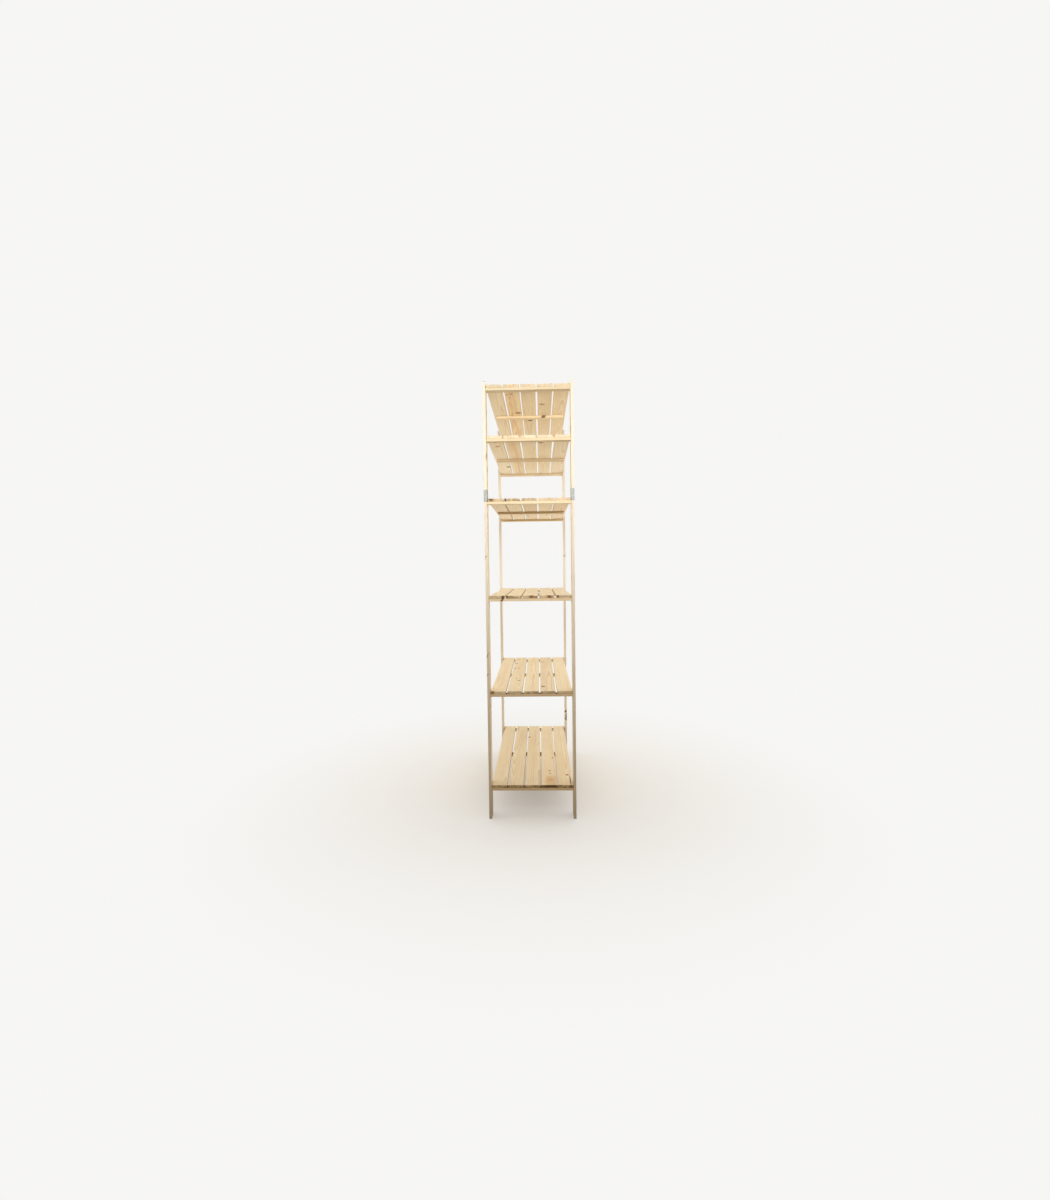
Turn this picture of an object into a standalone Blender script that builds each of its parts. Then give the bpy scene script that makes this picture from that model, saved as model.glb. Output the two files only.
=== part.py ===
"""Free-standing pine shelving unit, modelled piece by piece in metres.

Five slats lie lengthwise on three cross battens to make a shelf. The front and rear battens butt against
thin board posts, two at each end. Every post is a lower and an upper board, spliced by a folded steel
connector. +X runs across the shelves, +Y along the slats and +Z up; the origin is on the floor, under
the middle of the unit.
"""

from math import radians

import bmesh
import bpy
from mathutils import Matrix

# Shelf levels, measured to the top faces of the slats.
BOTTOM_SHELF_TOP = 0.160
LOWER_SHELF_PITCH = 0.440
LOWER_SHELF_COUNT = 4
FIFTH_SHELF_RISE = 0.280
TOP_SHELF_RISE = 0.225

# Slats: planed boards that run the whole length of the unit.
SLAT_LENGTH = 1.000
SLAT_WIDTH = 0.069
SLAT_THICKNESS = 0.013
SLAT_COUNT = 5
SLAT_GAP = 0.0075

# Battens: narrow strips under the slats. The middle one stops short of the outer slats' edges.
BATTEN_WIDTH = 0.034
BATTEN_THICKNESS = 0.012
MIDDLE_BATTEN_INSET = 0.010

# Posts: boards that stand outside the shelves, with their wide faces across the unit.
POST_WIDTH = 0.069
POST_THICKNESS = 0.013
POST_RISE = 0.015
JOINT_RISE = 0.020

# Connectors: channels folded from sheet, wrapped round the posts' outer edges across the butt joint.
CONNECTOR_SHEET = 0.001
CONNECTOR_FLANGE = 0.030
CONNECTOR_UPPER_LAP = 0.021
CONNECTOR_FOLD_RADIUS = 0.0007
CONNECTOR_CORNER_RADIUS = 0.004
SCREW_HOLE_DIAMETER = 0.004
SCREW_HOLE_SETBACKS = (0.009, 0.021)

# Clearances and edge finish.
SEAT_GAP = 0.0003
FLANGE_CLEARANCE = 0.0012
EDGE_EASING = 0.001
EASING_SEGMENTS = 2
FOLD_SEGMENTS = 3
CORNER_SEGMENTS = 3
HOLE_SEGMENTS = 16
CUTTER_MARGIN = 0.002

# Sizes and places that follow from the driving dimensions.
shelf_tops = [BOTTOM_SHELF_TOP + LOWER_SHELF_PITCH * level for level in range(LOWER_SHELF_COUNT)]
joint_shelf_top = shelf_tops[-1]
shelf_tops.append(shelf_tops[-1] + FIFTH_SHELF_RISE)
shelf_tops.append(shelf_tops[-1] + TOP_SHELF_RISE)

slat_pitch = SLAT_WIDTH + SLAT_GAP
slat_field_width = SLAT_COUNT * SLAT_WIDTH + (SLAT_COUNT - 1) * SLAT_GAP
slat_side_gap = SEAT_GAP + CONNECTOR_SHEET + FLANGE_CLEARANCE
inner_width = slat_field_width + 2 * slat_side_gap
batten_drop = SLAT_THICKNESS + SEAT_GAP + BATTEN_THICKNESS / 2

post_x = (inner_width + POST_THICKNESS) / 2
post_y = (SLAT_LENGTH - POST_WIDTH) / 2
post_top = shelf_tops[-1] + POST_RISE
joint_z = joint_shelf_top + JOINT_RISE

connector_base = joint_shelf_top - SLAT_THICKNESS
connector_height = joint_z + CONNECTOR_UPPER_LAP - connector_base
connector_clear_width = POST_THICKNESS + 2 * SEAT_GAP
screw_hole_heights = (
    (joint_z - connector_base) / 2,
    connector_height - CONNECTOR_UPPER_LAP / 2,
)


def clear_scene():
    for old in list(bpy.data.objects):
        bpy.data.objects.remove(old, do_unlink=True)


def new_collection(name):
    collection = bpy.data.collections.new(name)
    bpy.context.scene.collection.children.link(collection)
    return collection


def finish(name, colour, roughness, metallic):
    material = bpy.data.materials.new(name)
    material.use_nodes = True
    shader = material.node_tree.nodes["Principled BSDF"]
    shader.inputs["Base Color"].default_value = (*colour, 1.0)
    shader.inputs["Roughness"].default_value = roughness
    shader.inputs["Metallic"].default_value = metallic
    return material


def group(name, height):
    """An empty that carries the pieces of one shelf, or of the post frame."""
    empty = bpy.data.objects.new(name, None)
    empty.location.z = height
    parts.objects.link(empty)
    return empty


def place(piece, parent, location):
    piece.parent = parent
    piece.location = location
    parts.objects.link(piece)


def board(name, size, location, parent, material):
    """A planed board: a box of the given size, centred on its location, with eased edges."""
    mesh = bpy.data.meshes.new(name)
    shape = bmesh.new()
    bmesh.ops.create_cube(shape, size=1.0)
    bmesh.ops.scale(shape, vec=size, verts=shape.verts)
    shape.to_mesh(mesh)
    shape.free()
    mesh.materials.append(material)
    piece = bpy.data.objects.new(name, mesh)
    place(piece, parent, location)
    easing = piece.modifiers.new("eased_edges", "BEVEL")
    easing.limit_method = "NONE"
    easing.width = EDGE_EASING
    easing.segments = EASING_SEGMENTS


def connector_sheet_mesh():
    """The inner face of the folded channel: a web at y = 0 and two flanges towards +Y, open at the back."""
    half_width = connector_clear_width / 2
    outline = (
        (-half_width, CONNECTOR_FLANGE, 0),
        (-half_width, 0, 0),
        (half_width, 0, 0),
        (half_width, CONNECTOR_FLANGE, 0),
    )
    shape = bmesh.new()
    foot = [shape.verts.new(point) for point in outline]
    foot_edges = [shape.edges.new(pair) for pair in zip(foot, foot[1:])]
    raised = bmesh.ops.extrude_edge_only(shape, edges=foot_edges)["geom"]
    top = [item for item in raised if isinstance(item, bmesh.types.BMVert)]
    bmesh.ops.translate(shape, vec=(0, 0, connector_height), verts=top)
    shape.normal_update()
    web = min(shape.faces, key=lambda face: face.calc_center_median().y)
    if web.normal.y > 0:
        bmesh.ops.reverse_faces(shape, faces=shape.faces)

    folds = [edge for edge in shape.edges if len(edge.link_faces) == 2]
    bmesh.ops.bevel(
        shape, geom=folds, offset=CONNECTOR_FOLD_RADIUS, offset_type="OFFSET",
        segments=FOLD_SEGMENTS, profile=0.5, affect="EDGES",
    )
    free_corners = [vert for vert in shape.verts if len(vert.link_faces) == 1]
    bmesh.ops.bevel(
        shape, geom=free_corners, offset=CONNECTOR_CORNER_RADIUS, offset_type="OFFSET",
        segments=CORNER_SEGMENTS, profile=0.5, affect="VERTICES",
    )
    mesh = bpy.data.meshes.new("post_connector_sheet")
    shape.to_mesh(mesh)
    shape.free()
    return mesh


def screw_hole_mesh():
    """Drills through both flanges of a connector, one for each screw position."""
    depth = connector_clear_width + 2 * (CONNECTOR_SHEET + CUTTER_MARGIN)
    turn_to_x = Matrix.Rotation(radians(90), 4, "Y")
    shape = bmesh.new()
    for setback in SCREW_HOLE_SETBACKS:
        for height in screw_hole_heights:
            bmesh.ops.create_cone(
                shape, cap_ends=True, segments=HOLE_SEGMENTS, depth=depth,
                radius1=SCREW_HOLE_DIAMETER / 2, radius2=SCREW_HOLE_DIAMETER / 2,
                matrix=Matrix.Translation((0, setback, height)) @ turn_to_x,
            )
    mesh = bpy.data.meshes.new("screw_holes")
    shape.to_mesh(mesh)
    shape.free()
    return mesh


def build_shelf(number, top):
    shelf = group(f"shelf_{number}", top)
    first_slat_x = -(slat_field_width - SLAT_WIDTH) / 2
    for index in range(SLAT_COUNT):
        board(
            f"shelf_{number}_slat_{index + 1}",
            (SLAT_WIDTH, SLAT_LENGTH, SLAT_THICKNESS),
            (first_slat_x + slat_pitch * index, 0, -SLAT_THICKNESS / 2),
            shelf, slat_pine,
        )
    end_batten_length = inner_width - 2 * SEAT_GAP
    middle_batten_length = slat_field_width - 2 * MIDDLE_BATTEN_INSET
    end_batten_y = (SLAT_LENGTH - BATTEN_WIDTH) / 2
    battens = (
        ("front", end_batten_length, -end_batten_y),
        ("middle", middle_batten_length, 0),
        ("rear", end_batten_length, end_batten_y),
    )
    for label, length, y in battens:
        board(
            f"shelf_{number}_{label}_batten",
            (length, BATTEN_WIDTH, BATTEN_THICKNESS),
            (0, y, -batten_drop),
            shelf, batten_pine,
        )


def build_post(corner, x, y, frame):
    upper_foot = joint_z + SEAT_GAP
    stretches = (("lower", 0, joint_z), ("upper", upper_foot, post_top))
    for label, foot, head in stretches:
        board(
            f"{label}_post_{corner}",
            (POST_THICKNESS, POST_WIDTH, head - foot),
            (x, y, (foot + head) / 2),
            frame, post_pine,
        )


def build_connector(corner, x, end, frame):
    """The folded channel on one post. The end is -1 for a front post and 1 for a rear one."""
    sheet = bpy.data.objects.new(f"post_connector_{corner}", connector_mesh)
    place(sheet, frame, (x, end * (SLAT_LENGTH / 2 + SEAT_GAP), connector_base))
    sheet.rotation_euler.z = radians(180) if end > 0 else 0

    thickness = sheet.modifiers.new("sheet_thickness", "SOLIDIFY")
    thickness.thickness = CONNECTOR_SHEET
    thickness.offset = 1
    thickness.use_even_offset = True

    drill = bpy.data.objects.new(f"screw_holes_{corner}", drill_mesh)
    drill.parent = sheet
    drill.hide_render = True
    drill.display_type = "WIRE"
    cutters.objects.link(drill)
    holes = sheet.modifiers.new("screw_holes", "BOOLEAN")
    holes.operation = "DIFFERENCE"
    holes.object = drill


clear_scene()
parts = new_collection("wooden_shelving_unit")
cutters = new_collection("wooden_shelving_unit_cutters")

slat_pine = finish("slat_pine", (0.72, 0.56, 0.36), 0.62, 0.0)
batten_pine = finish("batten_pine", (0.80, 0.66, 0.44), 0.62, 0.0)
post_pine = finish("post_pine", (0.78, 0.64, 0.43), 0.62, 0.0)
galvanised_steel = finish("galvanised_steel", (0.56, 0.57, 0.55), 0.38, 1.0)

for shelf_number, shelf_top in enumerate(shelf_tops, start=1):
    build_shelf(shelf_number, shelf_top)

connector_mesh = connector_sheet_mesh()
connector_mesh.materials.append(galvanised_steel)
drill_mesh = screw_hole_mesh()
post_frame = group("post_frame", 0)
for end_label, end_side in (("front", -1), ("rear", 1)):
    for side_label, side in (("left", -1), ("right", 1)):
        corner_name = f"{end_label}_{side_label}"
        build_post(corner_name, side * post_x, end_side * post_y, post_frame)
        build_connector(corner_name, side * post_x, end_side, post_frame)
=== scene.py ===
from math import cos, pi, radians, sin, tau
import random

import bmesh
import bpy
from mathutils import Matrix, Vector


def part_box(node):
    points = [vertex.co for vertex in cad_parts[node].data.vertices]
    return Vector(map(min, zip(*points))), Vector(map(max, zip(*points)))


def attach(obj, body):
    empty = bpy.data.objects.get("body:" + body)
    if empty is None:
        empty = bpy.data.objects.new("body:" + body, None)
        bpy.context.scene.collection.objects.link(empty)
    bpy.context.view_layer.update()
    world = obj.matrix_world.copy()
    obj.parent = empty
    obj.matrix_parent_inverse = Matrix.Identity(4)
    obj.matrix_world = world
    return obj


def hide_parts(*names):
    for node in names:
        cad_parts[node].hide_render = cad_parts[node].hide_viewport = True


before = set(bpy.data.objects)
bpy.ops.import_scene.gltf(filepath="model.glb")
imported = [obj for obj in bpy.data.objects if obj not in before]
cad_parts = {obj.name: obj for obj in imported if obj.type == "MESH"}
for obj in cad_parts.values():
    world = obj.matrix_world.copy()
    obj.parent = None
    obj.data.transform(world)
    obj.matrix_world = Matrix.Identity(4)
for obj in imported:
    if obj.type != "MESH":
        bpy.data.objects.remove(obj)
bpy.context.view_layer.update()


# Shelf slats: planed pine boards, five to a shelf, laid lengthwise with narrow gaps between them.
# They are sawn flat from knotty young trees, so arched growth rings, knots and orange heartwood show.
# Each board has since gone its own way a little: it sags between the battens, crooks and cups.
shelf_numbers = range(1, 7)
slat_numbers = range(1, 6)
slat_easing = 0.0012
slat_bends = (0.0007, 0.0010, 0.0002)
slat_short_cut = 0.0016
# Painted shade, with some dirt, on the slats' long edges, which are the walls of the gaps between them.
slat_gap_shade_and_dirt = 0.6
slat_ring_width = 0.0034
slat_early_wood = (0.945, 0.838, 0.615)
slat_late_wood = (0.70, 0.50, 0.275)
slat_knots_each = (0, 2)
slat_knot_radii = (0.003, 0.009)


def feed(tree, sockets, values):
    """Gives sockets their values, each another node's output or a constant. Colours are opaque."""
    for place, value in values.items():
        socket = sockets[place]
        if isinstance(value, bpy.types.NodeSocket):
            tree.links.new(value, socket)
        elif socket.type == "RGBA":
            socket.default_value = (*value, 1.0)
        else:
            socket.default_value = value


def add_node(tree, kind, inputs, **options):
    made = tree.nodes.new("ShaderNode" + kind)
    for option, choice in options.items():
        setattr(made, option, choice)
    feed(tree, made.inputs, inputs)
    return made.outputs


def calc(tree, operation, *values):
    return add_node(tree, "Math", dict(enumerate(values)), operation=operation)[0]


def times(tree, first, second):
    return calc(tree, "MULTIPLY", first, second)


def plus(tree, first, second):
    return calc(tree, "ADD", first, second)


def scaled(tree, place, factors):
    return add_node(tree, "VectorMath", {0: place, 1: factors}, operation="MULTIPLY")["Vector"]


def length_of(tree, place):
    return add_node(tree, "VectorMath", {0: place}, operation="LENGTH")["Value"]


def fade(tree, value, low, high, first=0.0, last=1.0):
    """Runs smoothly from the first to the last number while the value goes from low to high."""
    limits = {"Value": value, "From Min": low, "From Max": high, "To Min": first, "To Max": last}
    return add_node(tree, "MapRange", limits, interpolation_type="SMOOTHSTEP")["Result"]


def noise(tree, place, stretch, detail=2.0):
    settings = {"Vector": scaled(tree, place, stretch), "Scale": 1.0, "Detail": detail}
    return add_node(tree, "TexNoise", settings)["Fac"]


def mixed(tree, amount, base, colour, blend="MIX"):
    sockets = {0: amount, 6: base, 7: colour}
    return add_node(tree, "Mix", sockets, data_type="RGBA", blend_type=blend)[2]


def shaded(tree, amount, base, tint):
    """Multiplies a colour by a tint or a grey, as far as the amount says."""
    return mixed(tree, amount, base, tint, "MULTIPLY")


def new_group(name, takes, gives):
    """An empty shader node group. Each input and output comes as a name and the type of its socket."""
    tree = bpy.data.node_groups.new(name, "ShaderNodeTree")
    for label, kind in takes.items():
        tree.interface.new_socket(label, in_out="INPUT", socket_type="NodeSocket" + kind)
    for label, kind in gives.items():
        tree.interface.new_socket(label, in_out="OUTPUT", socket_type="NodeSocket" + kind)
    return tree, tree.nodes.new("NodeGroupInput").outputs, tree.nodes.new("NodeGroupOutput").inputs


# The zones of a knot, from its middle outwards, in times its radius.
knot_wood_edge = (0.88, 1.06)
bark_inner_edge = (0.70, 0.96)
bark_outer_edge = (1.0, 1.2)
halo_reach = (0.8, 3.0)
knot_raggedness = 0.5
knot_rings = 4.0


def knot_masks_group():
    """One knot's wood, bark rim, stain and swollen rings. Its vector's third part is its darkness."""
    masks = ("Wood", "Rim", "Halo", "Swell", "Rings", "Darkness")
    tree, taken, given = new_group(
        "pine_knot", {"Knot": "Vector", "Ragged": "Float"}, dict.fromkeys(masks, "Float"))
    ragged = calc(tree, "MULTIPLY_ADD", taken["Ragged"], knot_raggedness, -knot_raggedness / 2)
    away = plus(tree, length_of(tree, scaled(tree, taken["Knot"], (1, 1, 0))), ragged)
    rim_start = fade(tree, away, *bark_inner_edge)
    rim_end = fade(tree, away, *bark_outer_edge, 1.0, 0.0)
    halo = fade(tree, away, *halo_reach, 1.0, 0.0)
    darkness = add_node(tree, "SeparateXYZ", {0: taken["Knot"]})["Z"]
    feed(tree, given, {
        "Wood": fade(tree, away, *knot_wood_edge, 1.0, 0.0),
        "Rim": times(tree, rim_start, rim_end),
        "Halo": halo,
        "Swell": times(tree, halo, calc(tree, "GREATER_THAN", darkness, 0.0)),
        "Rings": calc(tree, "PINGPONG", times(tree, away, knot_rings), 1.0),
        "Darkness": darkness,
    })
    return tree


surface_looks = {"Colour": "Color", "Roughness": "Float", "Height": "Float"}
# How many knots a board can have, how much longer than wide they are, and how far they lean along it.
knot_count = 6
knot_stretch = 1.25
knot_lean = 0.5
knot_names = [f"knot_{number}" for number in range(1, knot_count + 1)]
# What a board's mesh carries for each of its points.
carried_vectors = ("log_place", "tone", *knot_names)
carried_values = ("end_grain", "edge", "dirt_and_shade")
# How fine the wood's patterns are, in cycles to the metre across, through and along the board.
ragged_cycles = (210, 210, 130)
wander_cycles = (8, 8, 1.7)
shiver_cycles = (70, 70, 9)
fibre_cycles = (900, 900, 16)
canal_cycles = (1700, 1700, 45)
blotch_cycles = (16, 16, 2.6)
ripple_cycles = (55, 55, 6)
streak_cycles = (130, 130, 1.6)
saw_mark_cycles = (260, 1500, 30)
end_stain_cycles = (55, 90, 30)
rub_cycles = (120, 120, 25)
# How far the rings wander, shiver and swell at knots, and how far the heartwood's edge ripples.
ring_wander = 0.012
ring_shiver = 0.0016
knot_swell = 0.007
heart_ripple = 0.014
# How often and how much the years' widths change, how sharply late wood begins and its least strength.
season_cycles = 110.0
season_spread = 1.6
summer_sharpness = 2.6
faintest_ring = 0.35
# What each mark makes of the colour under it, and the colours of knots and bark.
fibre_tint = (0.82, 0.74, 0.62)
canal_tint = (0.62, 0.47, 0.33)
blotch_tint = (0.93, 0.86, 0.76)
heartwood_tint = (0.88, 0.70, 0.51)
pink_tint = (0.965, 0.88, 0.82)
halo_tint = (0.86, 0.71, 0.53)
knot_ring_tint = (0.62, 0.48, 0.37)
end_tint = (0.84, 0.80, 0.70)
end_ring_tint = (0.66, 0.57, 0.45)
saw_mark_tint = (0.76, 0.70, 0.62)
end_stain_tint = (0.42, 0.32, 0.22)
rubbed_tint = (0.90, 0.83, 0.73)
# The next tint darkens painted shade and dirt.
dirt_and_shade_tint = (0.22, 0.16, 0.10)
live_knot_wood = (0.64, 0.41, 0.21)
dead_knot_wood = (0.03, 0.017, 0.010)
bark_colour = (0.07, 0.036, 0.02)


def pine_group():
    """Pine cut from a log: growth rings round the pith, fibre, heartwood, knots and darker end grain."""
    knot_masks = knot_masks_group()
    takes = {"Early Wood": "Color", "Late Wood": "Color", "Ring Width": "Float"}
    takes.update(dict.fromkeys(carried_vectors, "Vector"))
    takes.update(dict.fromkeys(carried_values, "Float"))
    tree, taken, given = new_group("pine", takes, surface_looks)
    place = taken["log_place"]
    tone = add_node(tree, "SeparateXYZ", {0: taken["tone"]})

    ragged = noise(tree, place, ragged_cycles)
    knots = [
        add_node(tree, "Group", {"Knot": taken[label], "Ragged": ragged}, node_tree=knot_masks)
        for label in knot_names
    ]

    def most(output):
        value = knots[0][output]
        for knot in knots[1:]:
            value = calc(tree, "MAXIMUM", value, knot[output])
        return value

    def swing(cycles, reach, detail=2.0):
        return calc(tree, "MULTIPLY_ADD", noise(tree, place, cycles, detail), reach, -reach / 2)

    radius = length_of(tree, scaled(tree, place, (1, 1, 0)))
    wander = swing(wander_cycles, ring_wander)
    shiver = swing(shiver_cycles, ring_shiver)
    swell = times(tree, calc(tree, "POWER", most("Swell"), 1.5), knot_swell)
    radius = plus(tree, plus(tree, radius, wander), plus(tree, shiver, swell))
    season_place = times(tree, radius, season_cycles)
    season = add_node(tree, "TexNoise", {"W": season_place, "Scale": 1.0}, noise_dimensions="1D")
    years = calc(tree, "DIVIDE", radius, taken["Ring Width"])
    years = plus(tree, years, times(tree, season["Fac"], season_spread))
    within_year = calc(tree, "FRACT", years)
    summer = calc(tree, "POWER", within_year, summer_sharpness)
    summer = times(tree, summer, fade(tree, within_year, 0.93, 1.0, 1.0, 0.0))
    year = calc(tree, "FLOOR", years)
    vigour = add_node(tree, "TexWhiteNoise", {"W": year}, noise_dimensions="1D")["Value"]
    vigour = calc(tree, "MULTIPLY_ADD", vigour, 1 - faintest_ring, faintest_ring)
    late = times(tree, summer, vigour)

    fibre = noise(tree, place, fibre_cycles, 3.0)
    canals = fade(tree, noise(tree, place, canal_cycles), 0.66, 0.78)
    blotch = noise(tree, place, blotch_cycles)
    ripple = swing(ripple_cycles, heart_ripple, 3.0)
    heart_edge = plus(tree, calc(tree, "SUBTRACT", tone["Z"], radius), ripple)
    streaks = fade(tree, noise(tree, place, streak_cycles, 3.0), 0.40, 0.60, 0.2, 1.0)
    heart = times(tree, fade(tree, heart_edge, -0.006, 0.008), streaks)

    ring_mask = times(tree, late, 0.95)
    colour = mixed(tree, ring_mask, taken["Early Wood"], taken["Late Wood"])
    colour = shaded(tree, fade(tree, fibre, 0.42, 0.72, 0.0, 0.5), colour, fibre_tint)
    colour = shaded(tree, times(tree, canals, 0.45), colour, canal_tint)
    colour = shaded(tree, fade(tree, blotch, 0.35, 0.75, 0.0, 0.55), colour, blotch_tint)
    colour = shaded(tree, times(tree, heart, 0.8), colour, heartwood_tint)
    colour = shaded(tree, tone["Y"], colour, pink_tint)
    colour = shaded(tree, 1.0, colour, tone["X"])

    for knot in knots:
        dark = knot["Darkness"]
        stain = calc(tree, "POWER", knot["Halo"], 1.6)
        stain = times(tree, stain, fade(tree, blotch, 0.25, 0.6, 0.4, 0.9))
        colour = shaded(tree, stain, colour, halo_tint)
        wood = mixed(tree, dark, live_knot_wood, dead_knot_wood)
        wood = shaded(tree, times(tree, knot["Rings"], 0.7), wood, knot_ring_tint)
        real = calc(tree, "GREATER_THAN", dark, 0.0)
        wood_mask = times(tree, knot["Wood"], times(tree, real, 0.92))
        colour = mixed(tree, wood_mask, colour, wood)
        bark = times(tree, knot["Rim"], calc(tree, "MULTIPLY_ADD", dark, 0.75, 0.25))
        bark = times(tree, bark, real)
        colour = mixed(tree, bark, colour, bark_colour)

    saw_marks = noise(tree, place, saw_mark_cycles, 3.0)
    end_stain = fade(tree, noise(tree, place, end_stain_cycles, 3.0), 0.42, 0.60)
    end_colour = shaded(tree, late, end_tint, end_ring_tint)
    end_colour = shaded(tree, fade(tree, saw_marks, 0.35, 0.7, 0.0, 0.5), end_colour, saw_mark_tint)
    end_colour = shaded(tree, end_stain, end_colour, end_stain_tint)
    colour = shaded(tree, taken["end_grain"], colour, end_colour)
    rub = fade(tree, noise(tree, place, rub_cycles, 3.0), 0.4, 0.65, 0.15, 0.7)
    colour = shaded(tree, times(tree, taken["edge"], rub), colour, rubbed_tint)
    # Painted shade with some dirt in the slats' gaps and on the battens' tops, painted shade at the posts'
    # feet, and dirt on some front ends darken the wood here.
    dirt_and_shade_mask = times(tree, taken["dirt_and_shade"], fade(tree, blotch, 0.2, 0.6, 0.75, 1.0))
    colour = shaded(tree, dirt_and_shade_mask, colour, dirt_and_shade_tint)

    rough = calc(tree, "MULTIPLY_ADD", late, -0.10, 0.66)
    rough = plus(tree, rough, times(tree, fibre, 0.12))
    rough = calc(tree, "SUBTRACT", rough, times(tree, most("Wood"), 0.16))
    rough = plus(tree, rough, times(tree, taken["end_grain"], 0.15))

    height = calc(tree, "MULTIPLY_ADD", fibre, 0.35, times(tree, late, 0.4))
    height = calc(tree, "SUBTRACT", height, times(tree, canals, 0.3))
    height = plus(tree, height, times(tree, most("Rim"), -0.8))
    height = plus(tree, height, times(tree, taken["end_grain"], times(tree, saw_marks, 2.0)))
    feed(tree, given, {"Colour": colour, "Roughness": rough, "Height": height})
    return tree


pine = pine_group()
grain_strength = 0.35
grain_relief = 0.0004


def new_material(name):
    material = bpy.data.materials.new(name)
    material.use_nodes = True
    return material, material.node_tree, material.node_tree.nodes["Principled BSDF"]


def dress(tree, shader, effect, strength, relief):
    """Gives a shader an effect's colour and roughness, and its height as relief of so many metres."""
    bump = add_node(tree, "Bump", {"Height": effect["Height"], "Strength": strength, "Distance": relief})
    looks = {"Base Color": effect["Colour"], "Roughness": effect["Roughness"], "Normal": bump["Normal"]}
    feed(tree, shader.inputs, looks)


def pine_material(name, early_wood, late_wood, ring_width):
    """Bare planed pine. A board's mesh carries where each point was in its log and where the knots are."""
    material, tree, shader = new_material(name)
    inputs = {"Early Wood": early_wood, "Late Wood": late_wood, "Ring Width": ring_width}
    for labels, output in ((carried_vectors, "Vector"), (carried_values, "Fac")):
        for label in labels:
            inputs[label] = add_node(tree, "Attribute", {}, attribute_name=label)[output]
    wood = add_node(tree, "Group", inputs, node_tree=pine)
    dress(tree, shader, wood, grain_strength, grain_relief)
    return material


def round_off(shape, geom, radius, steps, affect="EDGES"):
    bmesh.ops.bevel(
        shape, geom=geom, offset=radius, offset_type="OFFSET", segments=steps, profile=0.5, affect=affect)


def finished_mesh(name, shape):
    mesh = bpy.data.meshes.new(name)
    shape.to_mesh(mesh)
    shape.free()
    return mesh


def add_object(name, data):
    made = bpy.data.objects.new(name, data)
    bpy.context.scene.collection.objects.link(made)
    return made


def evaluated_mesh(piece):
    """The mesh that an object's modifiers make of its own."""
    bpy.context.view_layer.update()
    return bpy.data.meshes.new_from_object(piece.evaluated_get(bpy.context.evaluated_depsgraph_get()))


def cut_away(mesh, cutter_mesh, crossed=False):
    """The mesh less what a cutter takes up. The parts of a crossed cutter run through each other."""
    blank = add_object("blank", mesh)
    cutter = add_object("cutter", cutter_mesh)
    cut = blank.modifiers.new("cut", "BOOLEAN")
    cut.operation = "DIFFERENCE"
    cut.object = cutter
    cut.use_self = crossed
    ready = evaluated_mesh(blank)
    for helper in (blank, cutter):
        bpy.data.objects.remove(helper, do_unlink=True)
    return ready


def crease(mesh, angle):
    mesh.shade_smooth()
    mesh.set_sharp_from_angle(angle=angle)


def turn_to(facing):
    return Vector(facing).to_track_quat("Z", "Y").to_matrix().to_4x4()


def board_axes(low, high):
    """The numbers of a board's three axes: across its width, through its thickness and along its grain."""
    through, across, along = sorted(range(3), key=lambda axis: high[axis] - low[axis])
    return across, through, along


# How finely a board is meshed: round its edges, across its width and along its grain.
edge_steps = 3
cross_cuts = 3
station_spacing = 0.07
fewest_stations = 4
cut_tolerance = 1e-7
board_crease = radians(38)


def eased_board(low, high, easing):
    """A box with rounded edges, cut across at even stations so that it can bend."""
    across, _, along = board_axes(low, high)
    stations = max(fewest_stations, round((high - low)[along] / station_spacing))
    shape = bmesh.new()
    bmesh.ops.create_cube(shape, size=1.0)
    bmesh.ops.scale(shape, vec=high - low, verts=shape.verts)
    bmesh.ops.translate(shape, vec=(low + high) / 2, verts=shape.verts)
    round_off(shape, shape.edges[:], easing, edge_steps)
    for axis, cuts in ((along, stations), (across, cross_cuts)):
        direction = Vector((0, 0, 0))
        direction[axis] = 1
        for cut in range(1, cuts + 1):
            bmesh.ops.bisect_plane(
                shape, geom=shape.verts[:] + shape.edges[:] + shape.faces[:],
                plane_co=low.lerp(high, cut / (cuts + 1)), plane_no=direction, dist=cut_tolerance,
            )
    return shape


# A countersink is cut by a cone that also stands a lip's height out of the wood.
screw_sides = 24
countersink_mouth = 0.0040
countersink_floor = 0.0016
countersink_depth = 0.0030
countersink_lip = 0.0005


def countersunk(shape, seats):
    """A board with a countersink at each seat, which is a point on its face and the way out of it."""
    drills = bmesh.new()
    slope = (countersink_mouth - countersink_floor) / countersink_depth
    for point, facing in seats:
        middle = Vector(facing) * (countersink_lip - countersink_depth) / 2
        bmesh.ops.create_cone(
            drills, cap_ends=True, segments=screw_sides, depth=countersink_depth + countersink_lip,
            radius1=countersink_floor, radius2=countersink_mouth + slope * countersink_lip,
            matrix=Matrix.Translation(Vector(point) + middle) @ turn_to(facing),
        )
    drilled = bmesh.new()
    drilled.from_mesh(cut_away(finished_mesh("board", shape), finished_mesh("drills", drills)))
    return drilled


def knot_place(knot, sideways, up, run, growth):
    """Where a point of a board lies from a knot, in times the knot's radius, and how dark the knot is."""
    knot_across, knot_along, knot_radius, darkness, *longer = knot
    knot_radius *= growth
    aside = (sideways - knot_across) / knot_radius
    ahead = (run - knot_along - knot_lean * up) / knot_radius
    return aside, ahead / (longer[0] if longer else knot_stretch), darkness


far_from_knots = (90, 90, 0)
# What chance may give a board: a share of its sag, the slant of its ends and its place in a log. The
# pith lies so far aside, in board widths, and so far behind, and strays so far in a metre of the grain.
sag_shares = (0.2, 1.0)
steepest_end = 0.006
pith_aside = 0.5
pith_distances = (0.014, 0.055)
pith_strays = (0.010, 0.016)
log_reach = 40
# Heartwood reaches this share of the way from the pith to a board's middle, and up to so much further.
heart_core = 0.8
heart_reach = 0.030
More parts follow.
